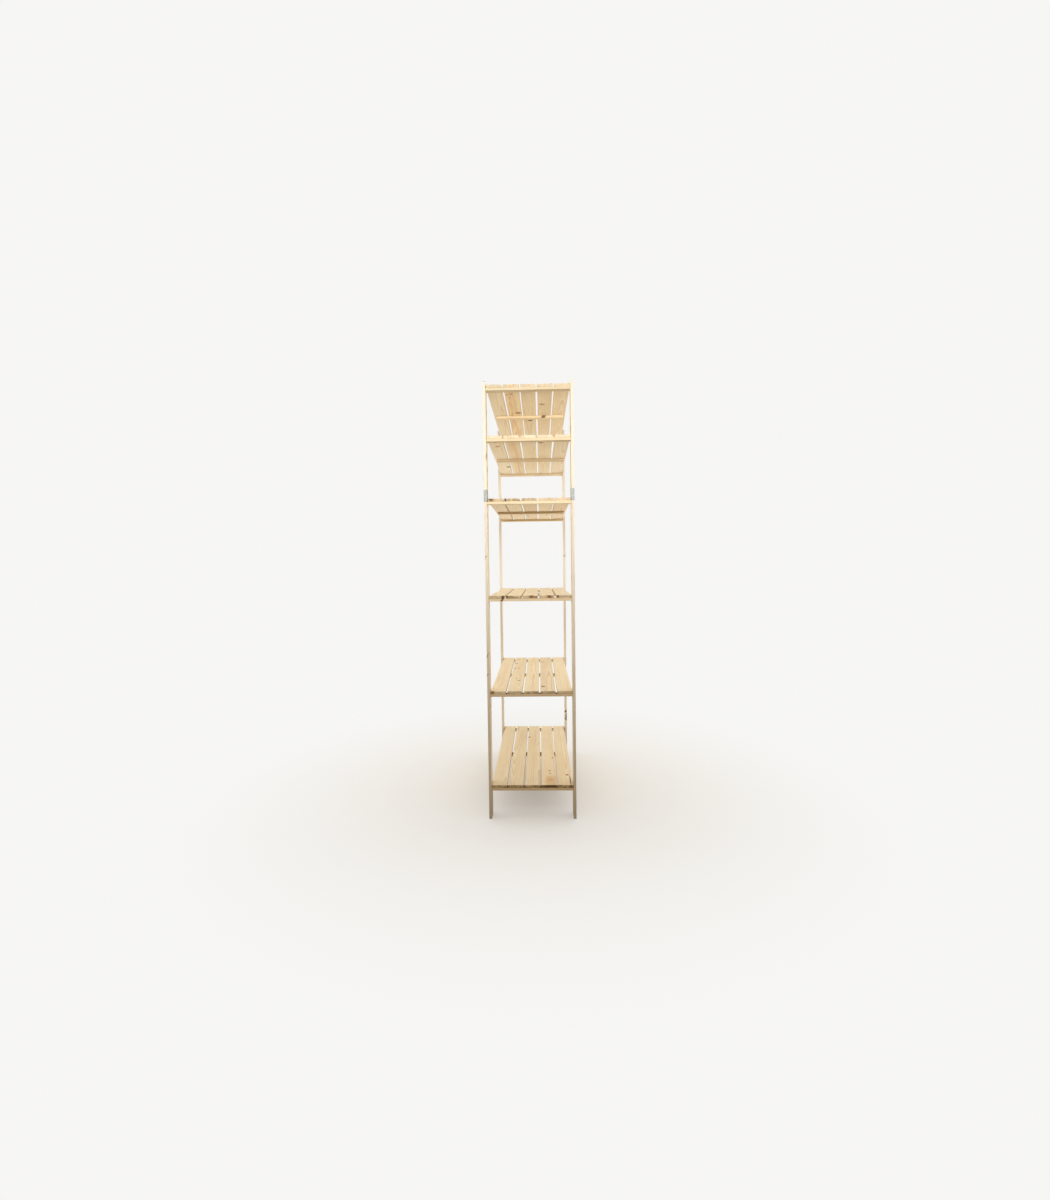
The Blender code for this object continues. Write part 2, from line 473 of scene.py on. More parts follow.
# The share of a board's half in which its end is trimmed, and how its painted shade and dirt lie.
trimmed_share = 0.2
# The share of that painted shade and dirt that the long edges keep above their middle, so that the gaps
# darken lower down.
upper_gap_shade_share = 0.3
# Over this height the posts darken towards the floor with painted shade.
foot_shade_height = 0.17


def pine_board(
    node, material, easing, bends, knots, tone,
    short_cut=0.0, lay=(0.0, 0.0), seats=(), top_shade_and_dirt=0.0, side_shade_and_dirt=0.0,
    end_dust=0.0, foot_shade=0.0, knot_taper=0.0,
):
    """Puts a real board in a solid's place. The bends are how far it sags, crooks and cups, in metres.

    A knot is its place across and along from the board's middle, its radius and its darkness, and for a
    bark pocket how many times longer than wide it is. A bare stain's darkness is negative.
    The tone is brightness, warmth, how much heartwood there is and how dark the ends are.
    The lay is how far aside the two ends lie, and the seats are where screws are countersunk.
    The last four amounts are painted shade and dirt on the upper face and on the long edges, dirt on the
    front end, and painted shade near the floor.
    The knot taper is the share by which knots grow from one wide face to the other.
    """
    low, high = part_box(node)
    across, through, along = board_axes(low, high)
    middle = (low + high) / 2
    size = high - low
    width, thickness, length = (size[axis] for axis in (across, through, along))
    sag, crook, cup = bends
    brightness, warmth, heart_share, end_shade = tone
    chance = random.Random("board " + node)
    bend_sideways = chance.uniform(-crook, crook)
    bend_double = chance.uniform(-crook, crook) / 2
    dip = chance.uniform(*sag_shares) * sag
    hollow = chance.uniform(-cup, cup)
    end_trims = [chance.uniform(0, short_cut) for _ in range(2)]
    end_slants = [chance.uniform(-steepest_end, steepest_end) for _ in range(2)]
    pith_across = chance.uniform(-pith_aside, pith_aside) * width
    outward = chance.choice((-1, 1))
    pith_distance = chance.uniform(*pith_distances)
    stray_across, stray_through = (chance.uniform(-stray, stray) for stray in pith_strays)
    log_start = chance.uniform(-log_reach, log_reach)
    heart = pith_distance * heart_core + heart_share * heart_reach if heart_share else 0.0

    shape = eased_board(low, high, easing)
    if seats:
        shape = countersunk(shape, seats)
    half_size = size / 2
    carried = {label: [] for label in (*carried_vectors, *carried_values)}
    for vert in shape.verts:
        offset = vert.co - middle
        sideways, up, run = (offset[axis] for axis in (across, through, along))
        share = run / length
        carried["tone"].append((brightness, warmth, heart))
        carried["log_place"].append((
            sideways - pith_across - stray_across * run,
            up - outward * pith_distance - stray_through * run,
            run + log_start,
        ))
        past_end = min(max((abs(run) - (length / 2 - easing)) / easing, 0), 1)
        carried["end_grain"].append(end_shade * past_end ** 2)
        past_flat = sorted(
            min(max((abs(offset[axis]) - half_size[axis]) / easing + 1, 0), 1) for axis in range(3))
        carried["edge"].append(past_flat[1])
        on_top = offset.z > half_size.z - easing / 10
        on_side = abs(sideways) > width / 2 - easing / 10
        near_floor = max(0.0, 1 - vert.co.z / foot_shade_height)
        carried["dirt_and_shade"].append(max(
            top_shade_and_dirt * on_top, side_shade_and_dirt * on_side * (upper_gap_shade_share if up > 0 else 1.0),
            end_dust * (past_end if run < 0 else 0.0), foot_shade * near_floor,
        ))
        growth = 1 - knot_taper * outward * up / thickness
        knot_places = [knot_place(knot, sideways, up, run, growth) for knot in knots]
        knot_places += [far_from_knots] * (knot_count - len(knots))
        for label, knot_spot in zip(knot_names, knot_places):
            carried[label].append(knot_spot)
        end = 0 if share < 0 else 1
        near_end = max(0.0, abs(share) * 2 - 1 + trimmed_share) / trimmed_share
        inward = 1 - 2 * end
        vert.co[across] += bend_sideways * (1 - 4 * share * share) + bend_double * sin(tau * share)
        vert.co[across] += lay[0] * (0.5 - share) + lay[1] * (0.5 + share)
        vert.co[through] -= dip * sin(tau * abs(share)) ** 2
        vert.co[through] += hollow * (1 - (2 * sideways / width) ** 2)
        vert.co[along] += inward * near_end * (end_trims[end] + abs(end_slants[end]) * width / 2)
        vert.co[along] += near_end * end_slants[end] * sideways

    name = "pine_" + node
    mesh = finished_mesh(name, shape)
    crease(mesh, board_crease)
    for label, values in carried.items():
        is_vector = label in carried_vectors
        layer = mesh.attributes.new(label, "FLOAT_VECTOR" if is_vector else "FLOAT", "POINT")
        for item, value in zip(layer.data, values):
            setattr(item, "vector" if is_vector else "value", value)
    mesh.materials.append(material)
    piece = add_object(name, mesh)
    flats = piece.modifiers.new("flat_faces", "WEIGHTED_NORMAL")
    flats.keep_sharp = True
    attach(piece, "root")
    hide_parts(node)


# How far from the middle a stray knot can be, as a share of the board's width and length, and how dark.
stray_aside = 0.42
stray_ahead = 0.45
stray_darkness = (0.02, 0.4)


def stray_knots(chance, node, count, radii):
    """Knots at places of their own on a board, none of them near its ends."""
    low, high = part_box(node)
    across, _, along = board_axes(low, high)
    knots = []
    for _ in range(chance.randint(*count)):
        aside = chance.uniform(-stray_aside, stray_aside) * (high[across] - low[across])
        ahead = chance.uniform(-stray_ahead, stray_ahead) * (high[along] - low[along])
        knots.append((aside, ahead, chance.uniform(*radii), chance.uniform(*stray_darkness)))
    return knots


# Knots that show from the front, by shelf and slat, placed in metres from the board's middle.
slat_knots = {
    # The thin bark edges at the rear outer corners of (1, 1), (1, 5), (2, 1) and (2, 5) are painted shade
    # beside the rear posts.
    (1, 1): [(-0.0345, 0.445, 0.0022, 0.6, 24.0)],
    (1, 2): [],
    (1, 3): [(-0.027, 0.257, 0.006, 0.5)],
    (1, 4): [
        (0.005, -0.312, 0.0042, 0.4), (0.007, -0.350, 0.0035, 0.5), (0.024, -0.120, 0.004, 0.5),
        (0.013, -0.415, 0.016, -1.0), (0.012, -0.470, 0.020, -1.0),
    ],
    (1, 5): [
        (0.014, -0.370, 0.0060, 0.5), (0.0255, -0.445, 0.0024, 0.7, 22.0),
        (0.0345, 0.435, 0.0028, 0.6, 22.0),
    ],
    (2, 1): [(-0.026, -0.506, 0.007, 0.5), (-0.0345, 0.450, 0.0022, 0.5, 22.0)],
    (2, 2): [
        (-0.025, 0.103, 0.0055, 0.5), (-0.003, 0.118, 0.0045, 0.5), (-0.004, -0.192, 0.0050, 0.4),
        (0.010, -0.246, 0.0060, 0.5), (-0.023, 0.273, 0.0060, 0.6), (-0.012, 0.430, 0.0060, 0.4),
    ],
    (2, 4): [(-0.022, -0.397, 0.008, 0.6), (-0.021, 0.320, 0.006, 0.5)],
    (2, 5): [(0.0345, 0.450, 0.0024, 0.5, 22.0), (-0.012, 0.060, 0.0030, 0.2)],
    (3, 1): [(0.027, -0.498, 0.005, 1.0)],
    (3, 2): [(-0.030, -0.504, 0.004, 0.8)],
    (3, 3): [(0.006, -0.5135, 0.012, 0.5)],
    (3, 4): [(0.010, -0.511, 0.010, 0.6)],
    (3, 5): [(-0.028, -0.505, 0.005, 0.7)],
    (4, 1): [(-0.020, -0.5145, 0.013, 0.6)],
    (4, 2): [(-0.030, -0.499, 0.004, 0.9)],
    (5, 1): [(0.024, 0.228, 0.0105, 0.9), (0.003, -0.330, 0.008, 0.1)],
    (5, 2): [],
    (5, 3): [],
    (5, 4): [(-0.019, -0.402, 0.010, 0.1)],
    (6, 1): [],
    (6, 2): [
        (0.014, -0.072, 0.009, 0.7), (0.024, -0.066, 0.006, 0.8),
        (-0.024, -0.385, 0.0040, 0.5), (-0.003, -0.395, 0.0050, 0.4), (-0.012, -0.340, 0.0035, 0.4),
    ],
    (6, 3): [(0.001, 0.085, 0.0085, 1.0), (0.012, 0.080, 0.0045, 0.9)],
    (6, 4): [(-0.014, -0.220, 0.010, 0.05)],
    (6, 5): [],
}
# Boards with orange heartwood, and how much of its furthest reach it has.
heartwood_slats = {(2, 5): 0.3, (4, 4): 0.3, (5, 2): 0.3, (6, 2): 0.9}
# How pink the tint of some boards is. The other boards' tints are chance, up to the pinkest.
pink_slats = {(3, 4): 0.1, (5, 4): 0.05, (5, 5): 0.2, (6, 5): 0.3}
pinkest_slat = 0.6
# The brightness of the boards, and the shelf whose boards are painted paler, as painted light for the
# brighter light on their undersides.
slat_brightness = (0.94, 1.03)
painted_light_shelf = 5
painted_light_brightness = (1.01, 1.02)
painted_light_early_wood = (0.97, 0.895, 0.695)
painted_light_late_wood = (0.75, 0.57, 0.34)
# How dark the slats' sawn ends are on each shelf, from the lowest one up, and the boards that differ.
# Each board has a chance share of that.
end_shades = (1.0, 0.3, 0.9, 0.3, 0.3, 0.3)
end_shade_shares = (0.6, 1.0)
dark_ends = {
    (2, 2): 1.0, (2, 3): 0.8, (2, 4): 1.0, (2, 5): 0.5, (4, 1): 0.7, (4, 2): 0.9, (4, 3): 0.8,
}
# Boards with dirt on the front end, and how much of it.
dirty_ends = {(1, 4): 1.0}
# How far aside of its place a slat's end may have been screwed down.
slat_lay = 0.0008

slat_pine = pine_material("planed_slat_pine", slat_early_wood, slat_late_wood, slat_ring_width)
painted_light_pine = pine_material("pale_slat_pine", painted_light_early_wood, painted_light_late_wood, slat_ring_width)
for shelf in shelf_numbers:
    painted_lighter = shelf == painted_light_shelf
    for slat in slat_numbers:
        slat_node = f"shelf_{shelf}_slat_{slat}"
        slat_chance = random.Random("slat " + slat_node)
        found_knots = stray_knots(slat_chance, slat_node, slat_knots_each, slat_knot_radii)
        slat_tone = (
            slat_chance.uniform(*(painted_light_brightness if painted_lighter else slat_brightness)),
            pink_slats.get((shelf, slat), slat_chance.uniform(0, 1) ** 2 * pinkest_slat),
            heartwood_slats.get((shelf, slat), 0.0),
            dark_ends.get((shelf, slat), end_shades[shelf - 1]) * slat_chance.uniform(*end_shade_shares),
        )
        end_lays = [slat_chance.uniform(-slat_lay, slat_lay) for _ in range(2)]
        pine_board(
            slat_node, painted_light_pine if painted_lighter else slat_pine, slat_easing, slat_bends,
            slat_knots.get((shelf, slat), found_knots), slat_tone, slat_short_cut, lay=end_lays,
            side_shade_and_dirt=slat_gap_shade_and_dirt, end_dust=dirty_ends.get((shelf, slat), 0.0),
        )


# Cross battens: narrow pine strips under the slats, with finer and fainter rings and sharper edges.
# The front and rear ones reach from post to post, the middle one only ties the slats together.
batten_easing = 0.0010
batten_bends = (0.0, 0.0003, 0.0)
batten_ring_width = 0.0026
batten_early_wood = (0.94, 0.835, 0.60)
batten_late_wood = (0.74, 0.55, 0.31)
batten_brightness = (0.97, 1.04)
batten_warmth = (0, 0.25)
batten_end_shade = 0.8
# Painted shade, with some dirt, on the battens' tops, which show in the gaps between the slats.
batten_top_shade_and_dirt = 1.0
batten_knots_each = (0, 1)
batten_knot_radii = (0.002, 0.005)
batten_places = ("front", "middle", "rear")
# The brightness and the warmth of the battens, by shelf and place, that differ from the rest.
# The darker middle battens of shelves 4 and 5 are painted shade: their front faces lie in the shade under
# the slats.
batten_tones_and_shades = {
    (1, "front"): (1.04, 0.9), (2, "front"): (0.95, 1.0), (3, "front"): (1.0, 0.6),
    (4, "middle"): (0.88, 0.8), (5, "front"): (0.93, 0.3), (5, "middle"): (0.80, 0.6),
    (5, "rear"): (0.93, 0.3), (6, "front"): (0.88, 0.1),
}
batten_knots = {
    (3, "front"): [(-0.017, -0.1285, 0.0032, 1.0)],
    (6, "middle"): [(-0.0165, 0.073, 0.0034, 0.8, 2.4)],
}
slat_screw_spread = (0.016, 0.007)


def slat_screw_seats(shelf, place):
    """Two seats, set aslant, under each crossing of a slat and a batten. The screws' heads face down."""
    batten_low, batten_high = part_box(f"shelf_{shelf}_{place}_batten")
    seats = []
    for slat in slat_numbers:
        slat_low, slat_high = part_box(f"shelf_{shelf}_slat_{slat}")
        for side in (-1, 1):
            point = Vector((
                (slat_low.x + slat_high.x) / 2 + side * slat_screw_spread[0],
                (batten_low.y + batten_high.y) / 2 + side * slat_screw_spread[1],
                batten_low.z,
            ))
            seats.append((point, (0, 0, -1)))
    return seats


batten_pine = pine_material("sawn_batten_pine", batten_early_wood, batten_late_wood, batten_ring_width)
for shelf in shelf_numbers:
    for place in batten_places:
        batten_node = f"shelf_{shelf}_{place}_batten"
        batten_chance = random.Random("batten " + batten_node)
        found_knots = stray_knots(batten_chance, batten_node, batten_knots_each, batten_knot_radii)
        batten_tint = (batten_chance.uniform(*batten_brightness), batten_chance.uniform(*batten_warmth))
        batten_tone = (*batten_tones_and_shades.get((shelf, place), batten_tint), 0.0, batten_end_shade)
        pine_board(
            batten_node, batten_pine, batten_easing, batten_bends,
            batten_knots.get((shelf, place), found_knots), batten_tone,
            seats=slat_screw_seats(shelf, place), top_shade_and_dirt=batten_top_shade_and_dirt,
        )


# Slat screws: zinc-plated countersunk wood screws with a cross recess, two where a slat crosses a batten.
# They come up through the batten from below, so that the shelf's top stays clean, and sit in countersinks.
recess_length = 0.0042
recess_width = 0.0009
recess_depth = 0.0013
recess_narrowing = 0.35
head_stand = -0.0003
# Radius and height from the middle of the head to the tip.
countersunk_profile = (
    (0, head_stand), (0.0030, head_stand), (0.0034, head_stand - 0.0001), (0.0035, head_stand - 0.0005),
    (0.0016, -0.0026), (0.0016, -0.0060), (0, -0.0070),
)
weld_distance = 0.000001
metal_crease = radians(35)
zinc_colour = (0.71, 0.72, 0.70)
zinc_grain = 0.0012
zinc_dullness = 0.32


def turned_mesh(name, profile):
    """A closed turned shape. The profile's points are radius and height, from the axis to the axis."""
    shape = bmesh.new()
    points = [shape.verts.new((radius, 0, height)) for radius, height in profile]
    for pair in zip(points, points[1:]):
        shape.edges.new(pair)
    bmesh.ops.spin(
        shape, geom=shape.verts[:] + shape.edges[:], axis=(0, 0, 1), cent=(0, 0, 0),
        angle=tau, steps=screw_sides, use_merge=True,
    )
    bmesh.ops.remove_doubles(shape, verts=shape.verts[:], dist=weld_distance)
    bmesh.ops.recalc_face_normals(shape, faces=shape.faces[:])
    return finished_mesh(name, shape)


def cross_recess_mesh(top):
    """Two crossed wedges that narrow downwards, the shape that a cross-head bit fits."""
    shape = bmesh.new()
    for turn in (0, pi / 2):
        wedge = bmesh.ops.create_cube(shape, size=1.0)["verts"]
        bmesh.ops.scale(shape, vec=(recess_length, recess_width, 2 * recess_depth), verts=wedge)
        for vert in wedge:
            if vert.co.z < 0:
                vert.co.x *= recess_narrowing
        bmesh.ops.rotate(shape, cent=(0, 0, 0), matrix=Matrix.Rotation(turn, 3, "Z"), verts=wedge)
        bmesh.ops.translate(shape, vec=(0, 0, top), verts=wedge)
    return finished_mesh("cross_recess", shape)


def screw_mesh(name, profile):
    """A turned screw, with a cross recess cut into its head."""
    recess = cross_recess_mesh(top=profile[0][1])
    welded = bmesh.new()
    welded.from_mesh(cut_away(turned_mesh(name, profile), recess, crossed=True))
    bmesh.ops.remove_doubles(welded, verts=welded.verts[:], dist=weld_distance)
    mesh = finished_mesh(name, welded)
    crease(mesh, metal_crease)
    return mesh


def screw_group(name, pattern, seats, material):
    """One piece made of like screws. A seat is the point on the wood and the way that the head faces."""
    chance = random.Random("screws " + name)
    shape = bmesh.new()
    for point, facing in seats:
        first = len(shape.verts)
        shape.from_mesh(pattern)
        shape.verts.ensure_lookup_table()
        turn = Matrix.Rotation(chance.uniform(0, tau), 4, "Z")
        bmesh.ops.transform(
            shape, matrix=Matrix.Translation(point) @ turn_to(facing) @ turn, verts=shape.verts[first:])
    mesh = finished_mesh(name, shape)
    mesh.materials.append(material)
    piece = add_object(name, mesh)
    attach(piece, "root")


# How fine the coat's clouds, scratches and smears are, in cycles to the metre, and its relief.
cloud_cycles = (90, 90, 90)
scratch_cycles = (2600, 240, 240)
smear_cycles = (35, 35, 60)
scratch_tint = (0.72, 0.72, 0.72)
coat_strength = 0.25
coat_relief = 0.0002


def metal_wear_group():
    """Thin zinc on steel: crystals, cloudy patches, fine scratches and dull smears."""
    takes = {"Place": "Vector", "Zinc": "Color", "Grain Size": "Float", "Dullness": "Float"}
    tree, taken, given = new_group("zinc_coat", takes, surface_looks)
    place = taken["Place"]
    count = calc(tree, "DIVIDE", 1.0, taken["Grain Size"])
    crystals = add_node(tree, "TexVoronoi", {"Vector": place, "Scale": count})
    facet = add_node(tree, "SeparateColor", {0: crystals["Color"]})
    clouds = noise(tree, place, cloud_cycles, 4.0)
    scratches = fade(tree, noise(tree, place, scratch_cycles, 3.0), 0.62, 0.72)
    smears = noise(tree, place, smear_cycles, 3.0)
    shade = calc(tree, "MULTIPLY_ADD", facet["Red"], 0.26, 0.76)
    shade = times(tree, shade, fade(tree, clouds, 0.3, 0.7, 0.9, 1.04))
    colour = shaded(tree, 1.0, taken["Zinc"], shade)
    colour = shaded(tree, times(tree, scratches, 0.4), colour, scratch_tint)
    rough = calc(tree, "MULTIPLY_ADD", facet["Green"], 0.16, taken["Dullness"])
    rough = plus(tree, rough, fade(tree, smears, 0.4, 0.7, 0.0, 0.16))
    relief = calc(tree, "MULTIPLY_ADD", facet["Blue"], 0.35, times(tree, scratches, -0.6))
    feed(tree, given, {"Colour": colour, "Roughness": rough, "Height": relief})
    return tree


zinc_coat = metal_wear_group()


def zinc_material(name, colour, grain_size, dullness):
    material, tree, shader = new_material(name)
    inputs = {"Zinc": colour, "Grain Size": grain_size, "Dullness": dullness}
    inputs["Place"] = add_node(tree, "TexCoord", {})["Object"]
    coat = add_node(tree, "Group", inputs, node_tree=zinc_coat)
    dress(tree, shader, coat, coat_strength, coat_relief)
    feed(tree, shader.inputs, {"Metallic": 1.0})
    return material


screw_zinc = zinc_material("zinc_plated_screw", zinc_colour, zinc_grain, zinc_dullness)
countersunk_screw = screw_mesh("countersunk_screw", countersunk_profile)
for shelf in shelf_numbers:
    under_seats = [seat for place in batten_places for seat in slat_screw_seats(shelf, place)]
    screw_group(f"slat_screws_{shelf}", countersunk_screw, under_seats, screw_zinc)


# Posts: planed pine boards, wide faces outward, a long lower and a short upper one at each corner.
# They carry everything: the front and rear battens butt against their inner faces.
post_easing = 0.0011
post_bends = (0.0, 0.0002, 0.0001)
post_ring_width = 0.0030
post_early_wood = (0.95, 0.90, 0.78)
post_late_wood = (0.76, 0.60, 0.41)
# The rear posts have a paler, whiter copy of the post pine: painted light for the cooler, brighter light
# that falls at the rear.
rear_post_painted_light_early_wood = (0.96, 0.935, 0.865)
rear_post_painted_light_late_wood = (0.79, 0.67, 0.51)
post_brightness = (0.97, 1.03)
post_warmth = (0, 0.25)
post_end_shade = 0.7
# Painted shade that darkens the posts towards the floor.
post_foot_shade = 0.4
post_knots_each = (1, 3)
post_knot_radii = (0.003, 0.009)
post_knot_taper = 1.3
post_corners = ("front_left", "front_right", "rear_left", "rear_right")
post_knots = {
    "lower_post_front_left": [
        (-0.036, 0.463, 0.0026, 0.4), (-0.036, 0.010, 0.0024, 0.3), (-0.036, -0.073, 0.0026, 0.3),
        (0.008, -0.390, 0.0060, 0.1),
    ],
    "lower_post_rear_right": [
        (-0.034, 0.493, 0.0032, 0.5), (-0.034, -0.474, 0.0050, 0.8), (-0.034, -0.498, 0.0042, 0.9),
        (-0.034, -0.519, 0.0058, 0.9), (0.012, 0.130, 0.0070, 0.1),
    ],
}
post_screw_spread = 0.009


def post_screw_seats(end, side_name):
    """Two seats side by side for each batten that butts against a post, on the post's outer face."""
    post_low, post_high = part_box(f"lower_post_{end}_{side_name}")
    facing = -1 if side_name == "left" else 1
    seats = []
    for shelf in shelf_numbers:
        batten_low, batten_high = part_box(f"shelf_{shelf}_{end}_batten")
        for shift in (-post_screw_spread, post_screw_spread):
            point = (batten_low + batten_high) / 2
            point.x = post_low.x if facing < 0 else post_high.x
            point.y += shift
            seats.append((point, (facing, 0, 0)))
    return seats


post_pine = pine_material("planed_post_pine", post_early_wood, post_late_wood, post_ring_width)
rear_post_painted_light_pine = pine_material("pale_post_pine", rear_post_painted_light_early_wood, rear_post_painted_light_late_wood, post_ring_width)
for stretch in ("lower", "upper"):
    for corner in post_corners:
        post_node = f"{stretch}_post_{corner}"
        post_chance = random.Random("post " + post_node)
        post_low, post_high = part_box(post_node)
        found_knots = stray_knots(post_chance, post_node, post_knots_each, post_knot_radii)
        post_tint = (post_chance.uniform(*post_brightness), post_chance.uniform(*post_warmth))
        own_seats = [
            seat for seat in post_screw_seats(*corner.split("_")) if post_low.z < seat[0].z < post_high.z]
        pine_board(
            post_node, rear_post_painted_light_pine if corner.startswith("rear") else post_pine,
            post_easing, post_bends, post_knots.get(post_node, found_knots),
            (*post_tint, 0.0, post_end_shade), seats=own_seats,
            foot_shade=post_foot_shade, knot_taper=post_knot_taper,
        )


# Post screws: the same countersunk screws, driven through the posts into the ends of the battens.
# Each end of a front or rear batten takes two, side by side.
for side_name in ("left", "right"):
    outer_seats = post_screw_seats("front", side_name) + post_screw_seats("rear", side_name)
    screw_group(f"post_screws_{side_name}", countersunk_screw, outer_seats, screw_zinc)


# Post connectors: channels folded from galvanised sheet, round the posts' outer edges across the joint.
# The free corners are rounded and both flanges are punched for screws.
sheet_thickness = 0.0010
fold_radius = 0.0007
fold_steps = 5
free_corner_radius = 0.0040
free_corner_steps = 6
sheared_edge = 0.00015
hole_diameter = 0.0040
hole_setbacks = (0.009, 0.021)
hole_margins = (0.0165, 0.0105)
hole_sides = 28
spangle_size = 0.0055
galvanised_colour = (0.44, 0.45, 0.425)
galvanised_dullness = 0.60


def folded_channel(name, outer_size):
    """The channel's inner face as an open sheet: a web at y = 0, with its two flanges towards +Y."""
    width = outer_size.x - 2 * sheet_thickness
    depth = outer_size.y - sheet_thickness
    shape = bmesh.new()
    outline = ((-width / 2, depth), (-width / 2, 0), (width / 2, 0), (width / 2, depth))
    foot = [shape.verts.new((x, y, 0)) for x, y in outline]
    edges = [shape.edges.new(pair) for pair in zip(foot, foot[1:])]
    raised = bmesh.ops.extrude_edge_only(shape, edges=edges)["geom"]
    top = [item for item in raised if isinstance(item, bmesh.types.BMVert)]
    bmesh.ops.translate(shape, vec=(0, 0, outer_size.z), verts=top)
    shape.normal_update()
    web = min(shape.faces, key=lambda face: face.calc_center_median().y)
    if web.normal.y > 0:
        bmesh.ops.reverse_faces(shape, faces=shape.faces[:])
    folds = [edge for edge in shape.edges if len(edge.link_faces) == 2]
    round_off(shape, folds, fold_radius, fold_steps)
    corners = [vert for vert in shape.verts if len(vert.link_faces) == 1]
    round_off(shape, corners, free_corner_radius, free_corner_steps, "VERTICES")
    return finished_mesh(name, shape)


def hole_punches(width, height):
    """Round punches through both flanges, one for each screw position."""
    shape = bmesh.new()
    for setback in hole_setbacks:
        for level in (hole_margins[0], height - hole_margins[1]):
            bmesh.ops.create_cone(
                shape, cap_ends=True, segments=hole_sides, depth=2 * width,
                radius1=hole_diameter / 2, radius2=hole_diameter / 2,
                matrix=Matrix.Translation((0, setback, level)) @ Matrix.Rotation(pi / 2, 4, "Y"),
            )
    return finished_mesh("hole_punches", shape)


galvanised = zinc_material("galvanised_sheet", galvanised_colour, spangle_size, galvanised_dullness)
for corner in post_corners:
    connector_node = f"post_connector_{corner}"
    low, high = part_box(connector_node)
    outer_size = high - low
    front = corner.startswith("front")
    name = f"folded_connector_{corner}"
    channel = add_object(name, folded_channel(name, outer_size))
    sheet = channel.modifiers.new("sheet", "SOLIDIFY")
    sheet.thickness = sheet_thickness
    sheet.offset = 1
    sheet.use_even_offset = True
    channel_mesh = cut_away(evaluated_mesh(channel), hole_punches(outer_size.x, outer_size.z))
    crease(channel_mesh, metal_crease)
    channel_mesh.materials.clear()
    channel_mesh.materials.append(galvanised)
    channel.modifiers.clear()
    channel.data = channel_mesh
    web_y = low.y + sheet_thickness if front else high.y - sheet_thickness
    channel.location = ((low.x + high.x) / 2, web_y, low.z)
    channel.rotation_euler.z = 0 if front else pi
    edges = channel.modifiers.new("sheared_edges", "BEVEL")
    edges.width = sheared_edge
    edges.segments = 2
    edges.limit_method = "ANGLE"
    edges.angle_limit = radians(50)
    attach(channel, "root")
    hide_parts(connector_node)


# Connector screws: pan-head screws through the connectors' outer flanges, two into each post board.
# Their heads bear on the sheet and cover the punched holes.
pan_head_radius = 0.0033
pan_head_rise = 0.0017
pan_head_lift = 0.00005
pan_rim_share = 0.35
dome_steps = 6

dome = []
for step in range(dome_steps):
    slope = step * pi / (2 * dome_steps)
    dome_share = pan_rim_share + (1 - pan_rim_share) * cos(slope) ** 0.8
    dome.append((pan_head_radius * sin(slope), pan_head_rise * dome_share))
# Radius and height from the middle of the head to the tip.
pan_profile = (
    *dome, (pan_head_radius, pan_head_rise * pan_rim_share), (pan_head_radius * 0.97, pan_head_lift),
    (0.0016, pan_head_lift), (0.0016, -0.0075), (0, -0.0095),
)
pan_screw = screw_mesh("pan_screw", pan_profile)
for corner in post_corners:
    low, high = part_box(f"post_connector_{corner}")
    front = corner.startswith("front")
    left = corner.endswith("left")
    flange_face = low.x if left else high.x
    web_y = low.y + sheet_thickness if front else high.y - sheet_thickness
    pan_seats = []
    for setback in hole_setbacks:
        for level in (low.z + hole_margins[0], high.z - hole_margins[1]):
            point = Vector((flange_face, web_y + (setback if front else -setback), level))
            pan_seats.append((point, (-1 if left else 1, 0, 0)))
    screw_group(f"connector_screws_{corner}", pan_screw, pan_seats, screw_zinc)


# Floor: a wide pale studio floor that runs out into the background, with no edge or horizon to be seen.
# It is matt, faintly mottled, and keeps the unit's shadow near its feet. Far out it glows like the
# surround: bright behind and beside the unit, dim on the camera's side.
floor_reach = 60.0
floor_sides = 96
floor_drop = 0.0005
floor_roughness = 0.75
floor_sheen = 0.2
mottle_cycles = (7, 7, 7)
mottle_tint = (0.96, 0.96, 0.955)
floor_colour = (0.86, 0.85, 0.83)
floor_bounce = (0.50, 0.43, 0.35)
shadow_reach = (-0.5, 1.9)
bounce_reach = (0.15, 0.9)
background_colour = (0.925, 0.92, 0.905)
front_floor_light = (0.08, 0.05, 0.02)
front_sky_light = (0.46, 0.37, 0.24)
back_floor_light = (1.62, 1.55, 1.43)
back_sky_light = (1.27, 1.24, 1.18)
rear_dimming = (0.74, 0.74, 0.74)


def surround_group():
    """The surround's colour in a direction: as seen directly, or as it lights the unit."""
    tree, taken, given = new_group(
        "studio_surround", {"Direction": "Vector", "Seen": "Float"}, {"Colour": "Color"})
    straight = add_node(tree, "VectorMath", {0: taken["Direction"]}, operation="NORMALIZE")["Vector"]
    towards = add_node(tree, "SeparateXYZ", {0: straight})
    behind = fade(tree, towards["Y"], -0.7, 0.3)
    low = mixed(tree, behind, front_floor_light, back_floor_light)
    high = mixed(tree, behind, front_sky_light, back_sky_light)
    lit = mixed(tree, fade(tree, towards["Z"], 0.0, 0.2), low, high)
    lit = shaded(tree, fade(tree, towards["Y"], 0.3, 0.8), lit, rear_dimming)
    feed(tree, given, {"Colour": mixed(tree, taken["Seen"], lit, background_colour)})
    return tree


studio_surround = surround_group()


def seen_directly(tree):
    """One for the camera's rays, reflections and rays through glass, and none for light on the unit."""
    rays = add_node(tree, "LightPath", {})
    seen = calc(tree, "MAXIMUM", rays["Is Camera Ray"], rays["Is Glossy Ray"])
    return calc(tree, "MAXIMUM", seen, rays["Is Transmission Ray"])


